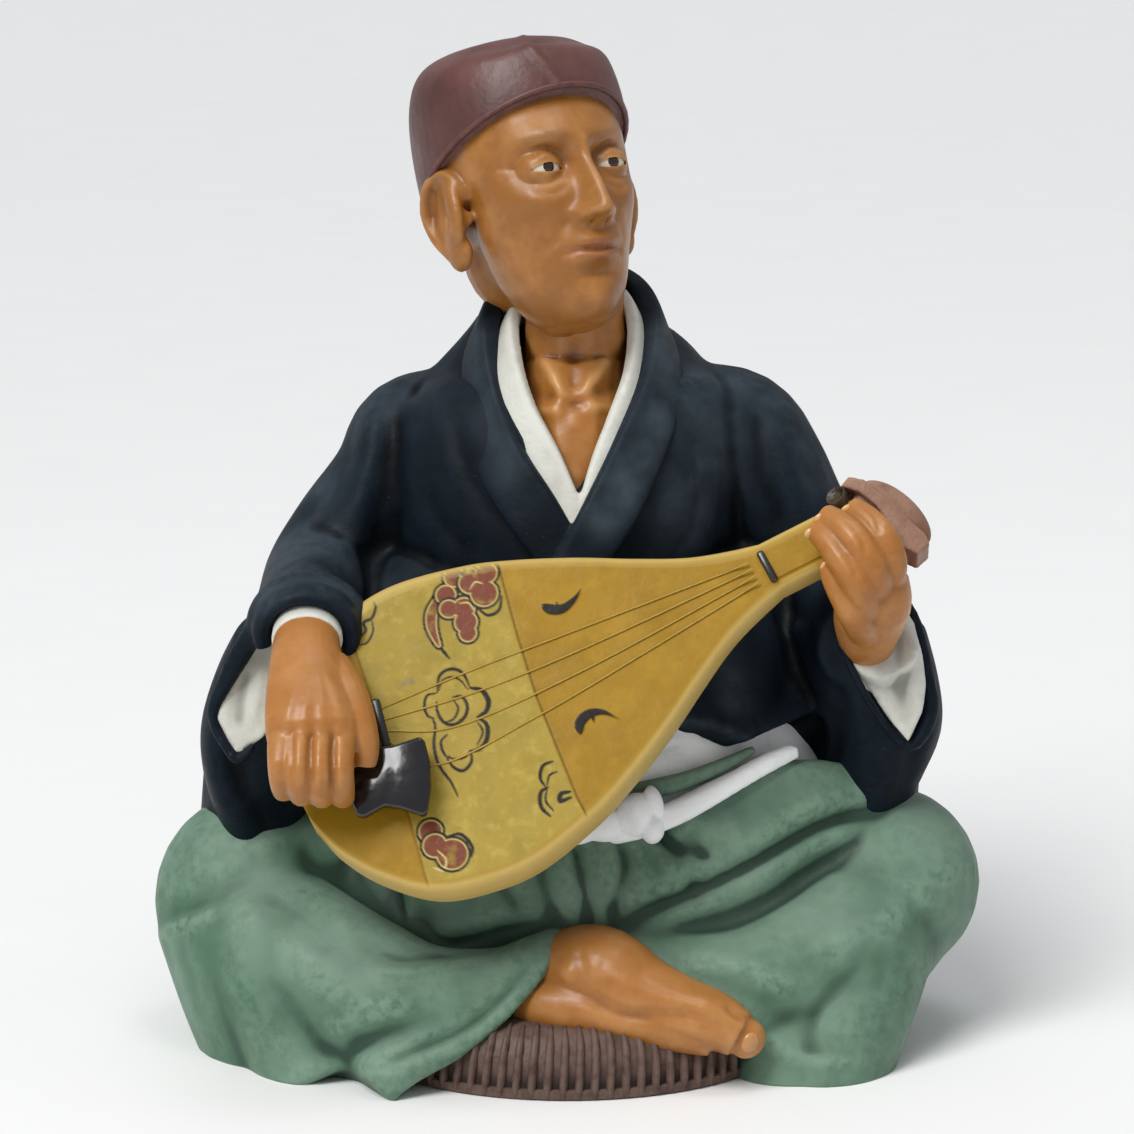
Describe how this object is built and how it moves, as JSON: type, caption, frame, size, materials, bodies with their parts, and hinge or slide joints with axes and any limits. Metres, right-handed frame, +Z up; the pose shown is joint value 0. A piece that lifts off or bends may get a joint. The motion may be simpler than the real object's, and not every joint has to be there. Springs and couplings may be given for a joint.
{
  "type": "biwa player figurine",
  "caption": "Painted clay figurine of a cross-legged musician in robe, cap and wide trousers who plays a lute with a large plectrum, on a small straw seat with a flat underside.",
  "frame": {"origin": "middle of the flat underside, on the surface that the figurine stands on", "axes": "+Z up from seat to cap, -Y is the way the figure faces, +X is the figure's left"},
  "size_m": [0.1997, 0.1488, 0.2404],
  "materials": {
    "painted_clay": "fired clay, painted matt: blue-black coat, sage trousers, white collar",
    "painted_skin": "fired clay, painted ochre brown with a soft wax gloss",
    "painted_lute": "fired clay, painted ochre gold with black and red cloud motifs",
    "black_lacquer": "thick glossy black paint"
  },
  "bodies": {
    "root": {"body": "painted_clay", "head": "painted_skin", "right_hand": "painted_skin", "left_hand": "painted_skin", "biwa": "painted_lute", "plectrum": "black_lacquer"}
  },
  "joints": []
}
